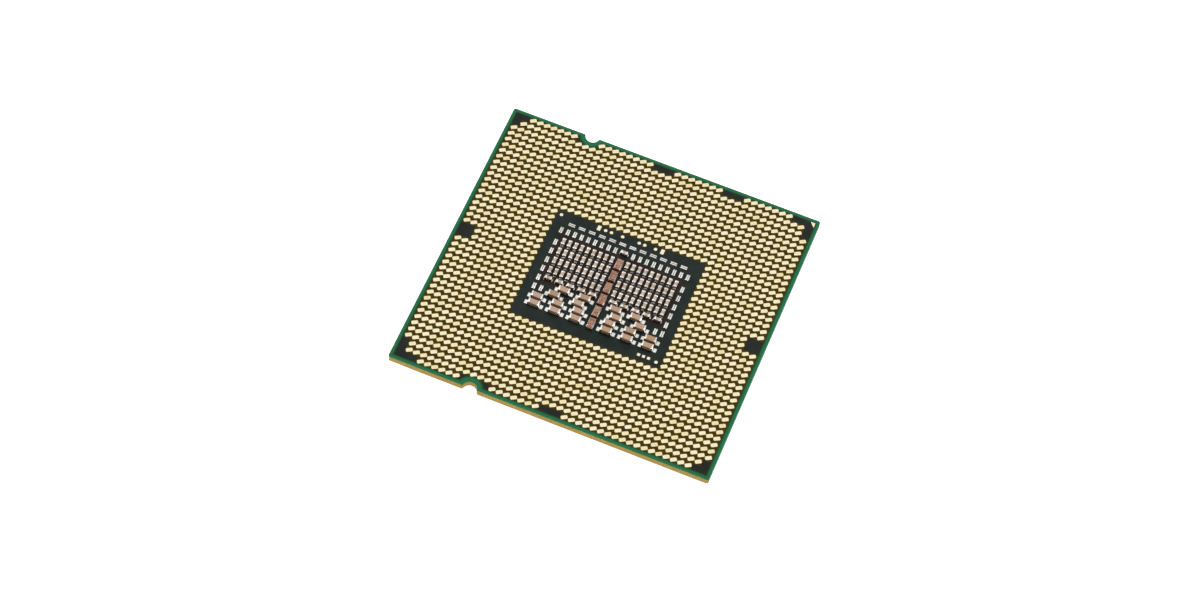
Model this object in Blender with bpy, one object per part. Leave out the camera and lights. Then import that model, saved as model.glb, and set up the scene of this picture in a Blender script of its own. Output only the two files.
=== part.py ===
"""Land grid array processor package, lying on its heat spreader with the contact lands up.

Frame, in metres: the origin is the centre of the heat spreader's outer face, which lies on
Z = 0. +Z points out of the contact side. +X runs along the two 45 mm edges, which carry the
key notches, and the pin-one corner is at +X +Y. Nothing on the package moves.

Stacked pieces touch face to face on the real package. Here they keep STACK_GAP between them.
"""

import math

import bmesh
import bpy
from mathutils import Matrix, Vector

MM = 0.001
STACK_GAP = 0.01 * MM

# Substrate: a laminated board with rounded corners and one key notch in each long edge.
SUBSTRATE_LENGTH = 45.0 * MM
SUBSTRATE_WIDTH = 42.5 * MM
SUBSTRATE_CORNER_RADIUS = 0.3 * MM
NOTCH_X = -10.9 * MM
NOTCH_DEPTH = 0.9 * MM
NOTCH_RADIUS = 1.0 * MM
NOTCH_LIP_RADIUS = 0.25 * MM
SMALLEST_LIP_RADIUS = 0.05 * MM
MASK_THICKNESS = 0.02 * MM
BUILDUP_THICKNESS = 0.11 * MM
CORE_THICKNESS = 0.8 * MM

# Contact lands: a square-pitch grid round an empty centre, held here as one thin sheet.
LAND_PITCH = 1.016 * MM
EMPTY_CENTRE_COLUMNS = 21
EMPTY_CENTRE_ROWS = 17
LAND_SHEET_INSET = 0.5 * MM
LAND_THICKNESS = 0.03 * MM
MARKER_INSET_X = 0.57 * MM
MARKER_INSET_Y = 0.55 * MM
MARKER_LEG_X = 0.68 * MM
MARKER_LEG_Y = 0.75 * MM

# Heat spreader: a stepped copper lid, hollow underneath, with one vent hole.
SPREADER_HEIGHT = 3.0 * MM
FLANGE_LENGTH = 37.5 * MM
FLANGE_WIDTH = 38.0 * MM
FLANGE_STEP = 0.9 * MM
FLANGE_CORNER_RADIUS = 1.6 * MM
FLANGE_EDGE_RADIUS = 0.25 * MM
PLATFORM_LENGTH = 36.0 * MM
PLATFORM_WIDTH = 31.5 * MM
PLATFORM_CORNER_RADIUS = 2.2 * MM
PLATFORM_EDGE_RADIUS = 0.35 * MM
PLATFORM_SINK = 0.6 * MM
CAVITY_LENGTH = 30.0 * MM
CAVITY_WIDTH = 26.5 * MM
CAVITY_DEPTH = 1.0 * MM
CAVITY_CORNER_RADIUS = 1.5 * MM
VENT_RADIUS = 0.4 * MM
VENT_EDGE_DISTANCE = 1.6 * MM

# Inside the lid: bead, thermal solder, die and underfill.
SEALANT_THICKNESS = 0.1 * MM
SEALANT_SETBACK = 0.3 * MM
SOLDER_THICKNESS = 0.26 * MM
SOLDER_OVERHANG = 0.2 * MM
DIE_LENGTH = 18.9 * MM
DIE_WIDTH = 13.9 * MM
DIE_THICKNESS = 0.775 * MM
UNDERFILL_HEIGHT = 0.4 * MM
UNDERFILL_FOOT = 1.2 * MM
UNDERFILL_RIM = 0.25 * MM

# Capacitors: body length is across the two end terminations.
PAD_THICKNESS = 0.03 * MM
BULK_BODY = (1.6 * MM, 0.8 * MM, 0.8 * MM)
BULK_PAD_SPAN = 2.54 * MM
BULK_FIRST_X = 2.2 * MM
BULK_PITCH_X = 2.95 * MM
BULK_STAGGERED_X = (2.7 * MM, 6.13 * MM)
BULK_FIRST_Y = -3.02 * MM
BULK_PITCH_Y = 1.12 * MM
WIDE_BODY = (0.8 * MM, 1.65 * MM, 0.5 * MM)
WIDE_PAD_SPAN = 1.0 * MM
WIDE_COUNT = 6
WIDE_FIRST_Y = 3.67 * MM
WIDE_PITCH_Y = 1.96 * MM
SMALL_BODY = (1.0 * MM, 0.5 * MM, 0.5 * MM)
SMALL_PAD_SPAN = 1.2 * MM
BANK_PAD_SPAN = 0.6 * MM
BANK_COUNT = 4
BANK_SIZE = 9
BANK_FIRST_X = 1.11 * MM
BANK_PITCH_X = 0.872 * MM
BANK_FIRST_Y = 3.97 * MM
BANK_PITCH_Y = 1.587 * MM
LOWER_ROW_COUNT = 5
LOWER_ROW_FIRST_X = 1.49 * MM
LOWER_ROW_PITCH_X = 1.583 * MM
LOWER_ROW_Y = -2.0 * MM
CENTRE_SMALL_Y = 5.68 * MM
BODY_EDGE_RADIUS = 0.06 * MM

CORNER_STEPS = 4
LIP_STEPS = 3
NOTCH_STEPS = 10
EDGE_STEPS = 2
VENT_SIDES = 24

# name: (sRGB colour, roughness, metallic)
FINISHES = {
    "nickel plate": ("BFBDB6", 0.32, 1.0),
    "black sealant": ("1B1A19", 0.6, 0.0),
    "indium solder": ("B9BCC0", 0.45, 1.0),
    "silicon": ("3A3F47", 0.18, 0.0),
    "underfill epoxy": ("23221F", 0.4, 0.0),
    "green solder mask": ("2C3A30", 0.38, 0.0),
    "build-up resin": ("7C8644", 0.55, 0.0),
    "glass epoxy core": ("A87B33", 0.6, 0.0),
    "gold plate": ("F8EDC4", 0.25, 1.0),
    "tan ceramic": ("B08E70", 0.5, 0.0),
    "brown ceramic": ("9C6B54", 0.5, 0.0),
}


def linear(channel):
    """One sRGB channel, 0 to 1, as scene-linear light."""
    if channel <= 0.04045:
        return channel / 12.92
    return ((channel + 0.055) / 1.055) ** 2.4


def make_materials():
    """A Principled material for each finish, by name."""
    made = {}
    for name, (colour, roughness, metallic) in FINISHES.items():
        material = bpy.data.materials.new(name)
        material.use_nodes = True
        shader = material.node_tree.nodes["Principled BSDF"]
        channels = [linear(int(colour[i:i + 2], 16) / 255) for i in (0, 2, 4)]
        shader.inputs["Base Color"].default_value = (*channels, 1.0)
        shader.inputs["Roughness"].default_value = roughness
        shader.inputs["Metallic"].default_value = metallic
        made[name] = material
    return made


def arc(centre, radius, start, end, steps):
    """Points of an arc from one angle to another, in degrees, both ends included."""
    points = []
    for step in range(steps + 1):
        angle = math.radians(start + (end - start) * step / steps)
        points.append((centre[0] + radius * math.cos(angle), centre[1] + radius * math.sin(angle)))
    return points


def rounded_rectangle(length, width, radius):
    """Outline of a rectangle about the origin with round corners, anticlockwise."""
    x = length / 2 - radius
    y = width / 2 - radius
    points = []
    for centre, start in (((x, y), 0), ((-x, y), 90), ((-x, -y), 180), ((x, -y), 270)):
        points += arc(centre, radius, start, start + 90, CORNER_STEPS)
    return points


def notch(edge_y, inset):
    """The key notch in the +Y edge, from its +X lip to its -X lip."""
    centre_y = SUBSTRATE_WIDTH / 2 - NOTCH_DEPTH + NOTCH_RADIUS
    radius = NOTCH_RADIUS + inset
    lip = max(NOTCH_LIP_RADIUS - inset, SMALLEST_LIP_RADIUS)
    drop = centre_y - (edge_y - lip)
    reach = math.sqrt((radius + lip) ** 2 - drop ** 2)
    tilt = math.degrees(math.atan2(drop, reach))
    right = arc((NOTCH_X + reach, edge_y - lip), lip, 90, 180 - tilt, LIP_STEPS)
    bottom = arc((NOTCH_X, centre_y), radius, -tilt, tilt - 180, NOTCH_STEPS)
    left = arc((NOTCH_X - reach, edge_y - lip), lip, tilt, 90, LIP_STEPS)
    return right + bottom[1:-1] + left


def substrate_outline(inset=0.0):
    """Outline of the board, anticlockwise, drawn in from its edge by inset."""
    radius = max(SUBSTRATE_CORNER_RADIUS - inset, SMALLEST_LIP_RADIUS)
    length = SUBSTRATE_LENGTH - 2 * inset
    width = SUBSTRATE_WIDTH - 2 * inset
    corners = rounded_rectangle(length, width, radius)
    far_notch = notch(width / 2, inset)
    near_notch = [(x, -y) for x, y in reversed(far_notch)]
    first = CORNER_STEPS + 1
    return corners[:first] + far_notch + corners[first:3 * first] + near_notch + corners[3 * first:]


def curve_object(name, outlines, depth):
    """A flat filled curve through closed outlines, thickened by depth about its own plane."""
    curve = bpy.data.curves.new(name, "CURVE")
    curve.dimensions = "2D"
    curve.fill_mode = "BOTH"
    curve.extrude = depth / 2
    for outline in outlines:
        spline = curve.splines.new("POLY")
        spline.points.add(len(outline) - 1)
        for point, (x, y) in zip(spline.points, outline):
            point.co = (x, y, 0, 1)
        spline.use_cyclic_u = True
    return bpy.data.objects.new(name, curve)


def plate(name, outlines, bottom, thickness):
    """A flat piece whose underside is at the height called bottom."""
    obj = curve_object(name, outlines, thickness)
    obj.location.z = bottom + thickness / 2
    return obj


def mesh_object(name, shape):
    """An object that holds a bmesh, which is freed."""
    bmesh.ops.recalc_face_normals(shape, faces=shape.faces)
    mesh = bpy.data.meshes.new(name)
    shape.to_mesh(mesh)
    shape.free()
    return bpy.data.objects.new(name, mesh)


def block_shape(length, width, bottom, top):
    """A box centred on the Z axis, as a bmesh."""
    shape = bmesh.new()
    size = Matrix.Diagonal((length, width, top - bottom, 1.0))
    place = Matrix.Translation(Vector((0, 0, (top + bottom) / 2)))
    bmesh.ops.create_cube(shape, size=1.0, matrix=place @ size)
    return shape


def is_upright(edge):
    first, second = edge.verts
    return abs(first.co.z - second.co.z) > max(abs(first.co.x - second.co.x), abs(first.co.y - second.co.y))


def round_block(name, length, width, bottom, top, corner_radius, edge_radius=0.0):
    """A box with round upright corners and, if wanted, a rounded lower edge."""
    shape = block_shape(length, width, bottom, top)
    corners = [edge for edge in shape.edges if is_upright(edge)]
    bmesh.ops.bevel(
        shape, geom=corners, offset=corner_radius, segments=CORNER_STEPS, profile=0.5, affect="EDGES"
    )
    if edge_radius:
        middle = (bottom + top) / 2
        lower = [edge for edge in shape.edges if all(vert.co.z < middle for vert in edge.verts)]
        bmesh.ops.bevel(
            shape, geom=lower, offset=edge_radius, segments=EDGE_STEPS, profile=0.5, affect="EDGES"
        )
    return mesh_object(name, shape)


def add_boolean(obj, other, operation):
    modifier = obj.modifiers.new(f"{operation.lower()} {other.name}", "BOOLEAN")
    modifier.operation = operation
    modifier.solver = "EXACT"
    modifier.object = other


class Package:
    """Puts finished pieces and cutters into their collections."""

    def __init__(self):
        self.parts = bpy.data.collections.new("processor")
        self.cutters = bpy.data.collections.new("cutters")
        self.cutters.hide_render = True
        for collection in (self.parts, self.cutters):
            bpy.context.scene.collection.children.link(collection)
        self.root = bpy.data.objects.new("package_frame", None)
        self.parts.objects.link(self.root)
        self.materials = make_materials()

    def add(self, obj, finish):
        """Gives a piece its material and parents it to the package's frame."""
        obj.data.materials.append(self.materials[finish])
        obj.parent = self.root
        self.parts.objects.link(obj)
        return obj

    def cut(self, obj, cutter, operation="DIFFERENCE"):
        """Applies a helper solid to a piece with a Boolean modifier."""
        cutter.hide_render = True
        cutter.display_type = "WIRE"
        self.cutters.objects.link(cutter)
        add_boolean(obj, cutter, operation)


def add_heat_spreader(package):
    """Stepped lid: the platform meets the cooler, the flange takes the socket's load plate."""
    lid = round_block(
        "heat_spreader", FLANGE_LENGTH, FLANGE_WIDTH, FLANGE_STEP, SPREADER_HEIGHT,
        FLANGE_CORNER_RADIUS, FLANGE_EDGE_RADIUS,
    )
    platform = round_block(
        "platform", PLATFORM_LENGTH, PLATFORM_WIDTH, 0.0, FLANGE_STEP + PLATFORM_SINK,
        PLATFORM_CORNER_RADIUS, PLATFORM_EDGE_RADIUS,
    )
    cavity = round_block(
        "cavity", CAVITY_LENGTH, CAVITY_WIDTH, SPREADER_HEIGHT - CAVITY_DEPTH,
        SPREADER_HEIGHT + CAVITY_DEPTH, CAVITY_CORNER_RADIUS,
    )
    hole = bmesh.new()
    x = CAVITY_LENGTH / 2 - VENT_EDGE_DISTANCE
    y = CAVITY_WIDTH / 2 - VENT_EDGE_DISTANCE
    bmesh.ops.create_cone(
        hole, cap_ends=True, segments=VENT_SIDES, radius1=VENT_RADIUS, radius2=VENT_RADIUS,
        depth=2 * SPREADER_HEIGHT, matrix=Matrix.Translation(Vector((x, -y, 0))),
    )
    package.cut(lid, platform, "UNION")
    package.cut(lid, cavity)
    package.cut(lid, mesh_object("vent_hole", hole))
    package.add(lid, "nickel plate")


def add_die_stack(package):
    """Thermal solder, die and underfill, between the lid's ceiling and the board."""
    ceiling = SPREADER_HEIGHT - CAVITY_DEPTH
    solder = round_block(
        "thermal_solder", DIE_LENGTH + 2 * SOLDER_OVERHANG, DIE_WIDTH + 2 * SOLDER_OVERHANG,
        ceiling + STACK_GAP, ceiling + STACK_GAP + SOLDER_THICKNESS, SOLDER_OVERHANG,
    )
    package.add(solder, "indium solder")
    die_low = ceiling + 2 * STACK_GAP + SOLDER_THICKNESS
    die_high = die_low + DIE_THICKNESS
    package.add(mesh_object("silicon_die", block_shape(DIE_LENGTH, DIE_WIDTH, die_low, die_high)), "silicon")
    board = SPREADER_HEIGHT + 2 * STACK_GAP + SEALANT_THICKNESS
    fillet = block_shape(
        DIE_LENGTH + 2 * UNDERFILL_FOOT, DIE_WIDTH + 2 * UNDERFILL_FOOT,
        board - STACK_GAP - UNDERFILL_HEIGHT, board - STACK_GAP,
    )
    for vert in fillet.verts:
        if vert.co.z < board - STACK_GAP - UNDERFILL_HEIGHT / 2:
            vert.co.x = math.copysign(DIE_LENGTH / 2 + UNDERFILL_RIM, vert.co.x)
            vert.co.y = math.copysign(DIE_WIDTH / 2 + UNDERFILL_RIM, vert.co.y)
    underfill = mesh_object("underfill", fillet)
    pocket = block_shape(
        DIE_LENGTH + 2 * STACK_GAP, DIE_WIDTH + 2 * STACK_GAP, die_low, die_high + STACK_GAP
    )
    package.cut(underfill, mesh_object("die_pocket", pocket))
    package.add(underfill, "underfill epoxy")


def add_substrate(package):
    """Sealant bead and board layers, from the lid's rim upwards. Returns the board's top height."""
    outer = rounded_rectangle(
        FLANGE_LENGTH - 2 * SEALANT_SETBACK, FLANGE_WIDTH - 2 * SEALANT_SETBACK, FLANGE_CORNER_RADIUS
    )
    inner = rounded_rectangle(
        CAVITY_LENGTH + 2 * SEALANT_SETBACK, CAVITY_WIDTH + 2 * SEALANT_SETBACK, CAVITY_CORNER_RADIUS
    )
    board = [substrate_outline()]
    layers = (
        ("spreader_sealant", [outer, inner], SEALANT_THICKNESS, "black sealant"),
        ("die_side_solder_mask", board, MASK_THICKNESS, "green solder mask"),
        ("die_side_buildup", board, BUILDUP_THICKNESS, "build-up resin"),
        ("substrate_core", board, CORE_THICKNESS, "glass epoxy core"),
        ("land_side_buildup", board, BUILDUP_THICKNESS, "build-up resin"),
        ("land_side_solder_mask", board, MASK_THICKNESS, "green solder mask"),
    )
    height = SPREADER_HEIGHT
    for name, outlines, thickness, finish in layers:
        package.add(plate(name, outlines, height + STACK_GAP, thickness), finish)
        height += STACK_GAP + thickness
    return height


def add_lands(package, board_top):
    """The contact side's outer metal: the land field as one sheet, and the pin-one marker."""
    half_x = EMPTY_CENTRE_COLUMNS * LAND_PITCH / 2
    half_y = EMPTY_CENTRE_ROWS * LAND_PITCH / 2
    centre = [(half_x, half_y), (-half_x, half_y), (-half_x, -half_y), (half_x, -half_y)]
    corner_x = SUBSTRATE_LENGTH / 2 - MARKER_INSET_X
    corner_y = SUBSTRATE_WIDTH / 2 - MARKER_INSET_Y
    marker = [(corner_x, corner_y), (corner_x - MARKER_LEG_X, corner_y), (corner_x, corner_y - MARKER_LEG_Y)]
    field = substrate_outline(LAND_SHEET_INSET)
    cut_x = corner_x - MARKER_LEG_X - MARKER_INSET_X
    cut_y = corner_y - MARKER_LEG_Y - MARKER_INSET_Y
    edge_x = SUBSTRATE_LENGTH / 2 - LAND_SHEET_INSET
    edge_y = SUBSTRATE_WIDTH / 2 - LAND_SHEET_INSET
    field = [(edge_x, cut_y), (cut_x, edge_y)] + field[CORNER_STEPS + 1:]
    package.add(plate("land_layer", [field, centre], board_top + STACK_GAP, LAND_THICKNESS), "gold plate")
    package.add(plate("pin_one_marker", [marker], board_top + STACK_GAP, LAND_THICKNESS), "gold plate")


def capacitor_profile(centres, body_length, height, pad_span):
    """Side view of capacitors on one strip of pad metal: x along the row, y up from the board."""
    low = min(centres) - pad_span / 2
    high = max(centres) + pad_span / 2
    points = [(low, PAD_THICKNESS), (low, 0.0), (high, 0.0), (high, PAD_THICKNESS)]
    for x in sorted(centres, reverse=True):
        side = body_length / 2
        top = height - BODY_EDGE_RADIUS
        points.append((x + side, PAD_THICKNESS))
        points += arc((x + side - BODY_EDGE_RADIUS, top), BODY_EDGE_RADIUS, 0, 90, EDGE_STEPS)
        points += arc((x - side + BODY_EDGE_RADIUS, top), BODY_EDGE_RADIUS, 90, 180, EDGE_STEPS)
        points.append((x - side, PAD_THICKNESS))
    return points


def add_capacitors(package, name, centres, y, body, pad_span, board_top, finish):
    """Capacitors that share one strip of pad metal, standing on the board along a row at y."""
    length, depth, height = body
    profile = capacitor_profile(centres, length, height, pad_span)
    obj = curve_object(name, [profile], depth)
    obj.rotation_euler.x = math.pi / 2
    obj.location = (0, y, board_top + STACK_GAP)
    package.add(obj, finish)


def add_bulk_capacitors(package, board_top):
    """Four staggered rows on each side of the centre line."""
    regular = [BULK_FIRST_X + BULK_PITCH_X * column for column in range(3)]
    rows = (regular[:2], BULK_STAGGERED_X, regular, regular)
    number = 0
    for row, columns in enumerate(rows):
        for x in columns:
            number += 1
            for side, sign in (("left", -1), ("right", 1)):
                add_capacitors(
                    package, f"bulk_capacitor_{side}_{number:02d}", [sign * x],
                    BULK_FIRST_Y - BULK_PITCH_Y * row, BULK_BODY, BULK_PAD_SPAN, board_top, "tan ceramic",
                )


def add_wide_capacitors(package, board_top):
    """The column of wide, low-inductance capacitors on the centre line."""
    for number in range(WIDE_COUNT):
        add_capacitors(
            package, f"wide_capacitor_{number + 1}", [0.0], WIDE_FIRST_Y - WIDE_PITCH_Y * number,
            WIDE_BODY, WIDE_PAD_SPAN, board_top, "brown ceramic",
        )


def add_small_capacitors(package, board_top):
    """Banks of nine side by side, the lower row, and the single one above the centre column."""
    length, width, height = SMALL_BODY
    for side, sign in (("left", -1), ("right", 1)):
        for bank in range(BANK_COUNT):
            centres = [sign * (BANK_FIRST_X + BANK_PITCH_X * column) for column in range(BANK_SIZE)]
            add_capacitors(
                package, f"capacitor_bank_{side}_{bank + 1}", centres,
                BANK_FIRST_Y - BANK_PITCH_Y * bank, (width, length, height), BANK_PAD_SPAN,
                board_top, "tan ceramic",
            )
        for column in range(LOWER_ROW_COUNT):
            x = sign * (LOWER_ROW_FIRST_X + LOWER_ROW_PITCH_X * column)
            add_capacitors(
                package, f"small_capacitor_{side}_{column + 1}", [x], LOWER_ROW_Y,
                SMALL_BODY, SMALL_PAD_SPAN, board_top, "tan ceramic",
            )
    add_capacitors(
        package, "small_capacitor_centre", [0.0], CENTRE_SMALL_Y,
        SMALL_BODY, SMALL_PAD_SPAN, board_top, "tan ceramic",
    )


def main():
    for obj in list(bpy.data.objects):
        bpy.data.objects.remove(obj, do_unlink=True)
    package = Package()
    add_heat_spreader(package)
    add_die_stack(package)
    board_top = add_substrate(package)
    add_lands(package, board_top)
    add_wide_capacitors(package, board_top)
    add_bulk_capacitors(package, board_top)
    add_small_capacitors(package, board_top)


main()
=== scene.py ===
"""Looks of a land grid array processor package, lying on its heat spreader, lands up.

Each section makes one piece, or one group of like pieces, in the order the package is put
together: lid, adhesive, die stack, board, plated copper, capacitors, and then the studio.
"""

import math

import bmesh
import bpy
from mathutils import Matrix, Vector


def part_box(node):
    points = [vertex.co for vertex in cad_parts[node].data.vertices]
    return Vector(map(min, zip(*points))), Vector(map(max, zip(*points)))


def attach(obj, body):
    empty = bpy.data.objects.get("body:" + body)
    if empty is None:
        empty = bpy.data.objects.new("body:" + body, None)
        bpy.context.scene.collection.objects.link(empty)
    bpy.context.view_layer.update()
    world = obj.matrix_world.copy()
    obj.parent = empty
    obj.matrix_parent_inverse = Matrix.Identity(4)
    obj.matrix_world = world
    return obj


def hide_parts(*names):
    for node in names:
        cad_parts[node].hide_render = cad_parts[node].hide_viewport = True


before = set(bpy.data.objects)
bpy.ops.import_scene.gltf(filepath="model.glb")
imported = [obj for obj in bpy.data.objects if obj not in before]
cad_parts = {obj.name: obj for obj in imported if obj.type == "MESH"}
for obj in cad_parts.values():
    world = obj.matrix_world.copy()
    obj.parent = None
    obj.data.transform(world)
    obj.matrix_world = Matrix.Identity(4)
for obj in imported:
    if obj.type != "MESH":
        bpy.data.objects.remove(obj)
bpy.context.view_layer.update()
MM = 0.001


# ---------------------------------------------------------------------------------------
# Heat spreader: a copper lid, coined in one hit and nickel plated. Its raised platform
# meets the cooler, the step round it takes the socket's load plate, its hollow side covers
# the die, and one drilled hole lets air out while the adhesive cures.

LID_PLATFORM = (36.0, 31.5, 2.2)
LID_CAVITY = (30.0, 26.5, 1.5)
LID_CAVITY_DEPTH = 1.0
LID_STEP = 0.9
LID_FLANGE_CORNER = 1.6
LID_FLANGE_ROUND = 0.25
LID_PLATFORM_ROUND = 0.35
LID_STEP_FILLET = 0.2
LID_CORNER_STEPS = 12
LID_EDGE_STEPS = 5
VENT_RADIUS = 0.4
VENT_EDGE_DISTANCE = 1.6
NICKEL = "C3C0B8"
NICKEL_SMUDGE = "A39E92"
LAPPING_LINE_WIDTH = 0.09
LAPPING_LINE_LENGTH = 6.0
HANDLING_MARK_SIZE = 9.0


def linear_colour(code):
    """An sRGB hex colour as scene-linear RGBA."""
    channels = []
    for start in (0, 2, 4):
        share = int(code[start:start + 2], 16) / 255
        channels.append(share / 12.92 if share <= 0.04045 else ((share + 0.055) / 1.055) ** 2.4)
    return (*channels, 1.0)


def per_metre(millimetres):
    """A texture scale that gives features of this size on coordinates in metres."""
    return 1.0 / (millimetres * MM)


def add_node(tree, kind, inputs=(), output=0, **settings):
    """Adds a node with its settings and links, and returns one of its outputs.

    Inputs come by name, or in the order of those that the settings leave in use. Each is a
    value, the hex code of a colour, or another node's output to be linked from.
    """
    node = tree.nodes.new(kind if "Node" in kind else f"ShaderNode{kind}")
    for name, value in settings.items():
        setattr(node, name, value)
    in_use = [socket for socket in node.inputs if socket.enabled]
    if isinstance(inputs, dict):
        in_use = [next(socket for socket in in_use if socket.name == name) for name in inputs]
        inputs = inputs.values()
    for socket, value in zip(in_use, inputs):
        if isinstance(value, bpy.types.NodeSocket):
            tree.links.new(value, socket)
        else:
            socket.default_value = linear_colour(value) if socket.type == "RGBA" else value
    if isinstance(output, str):
        return node.outputs[output]
    return [socket for socket in node.outputs if socket.enabled][output]


def new_finish(name, roughness, metallic=0.0, **fixed):
    """A material with one Principled shader. Returns it, its tree, the shader and the piece's
    own coordinates, which its patterns are drawn on."""
    material = bpy.data.materials.new(name)
    material.use_nodes = True
    tree = material.node_tree
    shader = tree.nodes["Principled BSDF"]
    shader.inputs["Roughness"].default_value = roughness
    shader.inputs["Metallic"].default_value = metallic
    for socket, value in fixed.items():
        shader.inputs[socket.replace("_", " ")].default_value = value
    return material, tree, shader, add_node(tree, "TexCoord", output="Object")


def dress(tree, shader, colour, roughness, relief, depth):
    """Feeds the shader a colour, a roughness and a relief whose full range is depth millimetres."""
    bump = add_node(tree, "Bump", {"Height": relief, "Strength": 1.0, "Distance": depth * MM})
    for name, source in (("Base Color", colour), ("Roughness", roughness), ("Normal", bump)):
        tree.links.new(source, shader.inputs[name])


def nickel_plate_finish():
    """Electroplated nickel over lapped copper: a satin, slightly warm mirror.

    It shows fine lapping lines along the long side and broad, faint handling marks. The real
    lines are about 0.01 mm apart, so they are drawn coarser to show at all.
    """
    material, tree, shader, here = new_finish("nickel_plate", 0.3, 1.0)
    drawn_out = (LAPPING_LINE_WIDTH / LAPPING_LINE_LENGTH, 1.0, 1.0)
    lapped = add_node(tree, "Mapping", {"Vector": here, "Scale": drawn_out})
    line_scale = per_metre(LAPPING_LINE_WIDTH)
    lines = add_node(tree, "TexNoise", {"Vector": lapped, "Scale": line_scale, "Detail": 2.0})
    marks = add_node(
        tree, "TexNoise",
        {"Vector": here, "Scale": per_metre(HANDLING_MARK_SIZE), "Detail": 4.0, "Roughness": 0.6},
    )
    smudged = add_node(tree, "MapRange", (marks, 0.45, 0.75))
    tint = add_node(tree, "Mix", (smudged, NICKEL, NICKEL_SMUDGE), data_type="RGBA")
    lined = add_node(tree, "MapRange", (lines, 0.3, 0.7, 0.2, 0.3))
    rubbed = add_node(tree, "MapRange", (marks, 0.4, 0.7, 0.0, 0.14))
    rough = add_node(tree, "Math", (lined, rubbed), operation="ADD")
    dress(tree, shader, tint, rough, lines, 0.002)
    return material


def corner_arc(centre, radius, start, end, steps):
    """Points of an arc from one angle to another, in degrees, both ends included."""
    points = []
    for step in range(steps + 1):
        angle = math.radians(start + (end - start) * step / steps)
        points.append((centre[0] + radius * math.cos(angle), centre[1] + radius * math.sin(angle)))
    return points


def rounded_rectangle(length, width, radius, steps):
    """Outline of a rectangle about the origin with round corners, anticlockwise."""
    x = length / 2 - radius
    y = width / 2 - radius
    points = []
    for centre, start in (((x, y), 0), ((-x, y), 90), ((-x, -y), 180), ((x, -y), 270)):
        points += corner_arc(centre, radius, start, start + 90, steps)
    return points


def add_ring(shape, outline, height):
    """Vertices round an outline given in millimetres, at a height in metres."""
    return [shape.verts.new((x * MM, y * MM, height)) for x, y in outline]


def bridge(shape, lower, upper):
    """Faces between two rings with the same number of vertices."""
    count = len(lower)
    for index in range(count):
        after = (index + 1) % count
        shape.faces.new((lower[index], lower[after], upper[after], upper[index]))


def loft(shape, rings, closed=False):
    """Skins a list of rings, and either caps both ends or joins the last ring to the first."""
    for lower, upper in zip(rings, rings[1:]):
        bridge(shape, lower, upper)
    if closed:
        bridge(shape, rings[-1], rings[0])
    else:
        shape.faces.new(list(reversed(rings[0])))
        shape.faces.new(rings[-1])


def add_object(name, data):
    """A new object in the scene, at the origin."""
    obj = bpy.data.objects.new(name, data)
    bpy.context.scene.collection.objects.link(obj)
    return obj


def to_object(name, shape, smooth_angle=40.0):
    """Turns a bmesh into an object in the scene, with faces out and soft edges shaded smooth."""
    bmesh.ops.recalc_face_normals(shape, faces=shape.faces)
    mesh = bpy.data.meshes.new(name)
    shape.to_mesh(mesh)
    shape.free()
    mesh.shade_smooth()
    mesh.set_sharp_from_angle(angle=math.radians(smooth_angle))
    return add_object(name, mesh)


def made_plain(obj, name):
    """A plain mesh object with the evaluated shape of another, which is removed."""
    graph = bpy.context.evaluated_depsgraph_get()
    mesh = bpy.data.meshes.new_from_object(obj.evaluated_get(graph))
    bpy.data.objects.remove(obj)
    mesh.name = name
    return add_object(name, mesh)


def paint(piece, finish):
    """Gives a piece one material all over."""
    piece.data.materials.clear()
    piece.data.materials.append(finish)


def install(piece, slot, *nodes):
    """Fixes a finished piece to the package, in place of the CAD nodes that it stands for."""
    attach(piece, "root")
    if nodes:
        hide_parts(*nodes)
    return piece


def quarter_round(length, width, corner, radius, foot):
    """Rings of a rounded lower edge, from its upright side down and in to its foot's height."""
    rows = []
    for step in range(LID_EDGE_STEPS + 1):
        turn = math.pi / 2 * step / LID_EDGE_STEPS
        inset = radius * (1 - math.cos(turn))
        drop = radius * math.sin(turn)
        rows.append((length - 2 * inset, width - 2 * inset, corner - inset, foot + radius - drop))
    return rows


def lid_section(flange_length, flange_width, height):
    """The lid's rings from its ceiling, down its hollow, round its rim and in to its outer face."""
    cavity_length, cavity_width, cavity_corner = LID_CAVITY
    platform_length, platform_width, platform_corner = LID_PLATFORM
    ceiling = height - LID_CAVITY_DEPTH
    rows = [
        (cavity_length - 0.4, cavity_width - 0.4, cavity_corner - 0.2, ceiling),
        (cavity_length, cavity_width, cavity_corner, ceiling + 0.2),
        (cavity_length, cavity_width, cavity_corner, height),
        (flange_length - 0.1, flange_width - 0.1, LID_FLANGE_CORNER - 0.05, height),
        (flange_length, flange_width, LID_FLANGE_CORNER, height - 0.05),
    ]
    rows += quarter_round(flange_length, flange_width, LID_FLANGE_CORNER, LID_FLANGE_ROUND, LID_STEP)
    for step in range(LID_EDGE_STEPS + 1):
        turn = math.pi / 2 * step / LID_EDGE_STEPS
        outset = LID_STEP_FILLET * (1 - math.sin(turn))
        drop = LID_STEP_FILLET * (1 - math.cos(turn))
        rows.append((
            platform_length + 2 * outset, platform_width + 2 * outset, platform_corner + outset,
            LID_STEP - drop,
        ))
    rows += quarter_round(platform_length, platform_width, platform_corner, LID_PLATFORM_ROUND, 0.0)
    return rows


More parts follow.
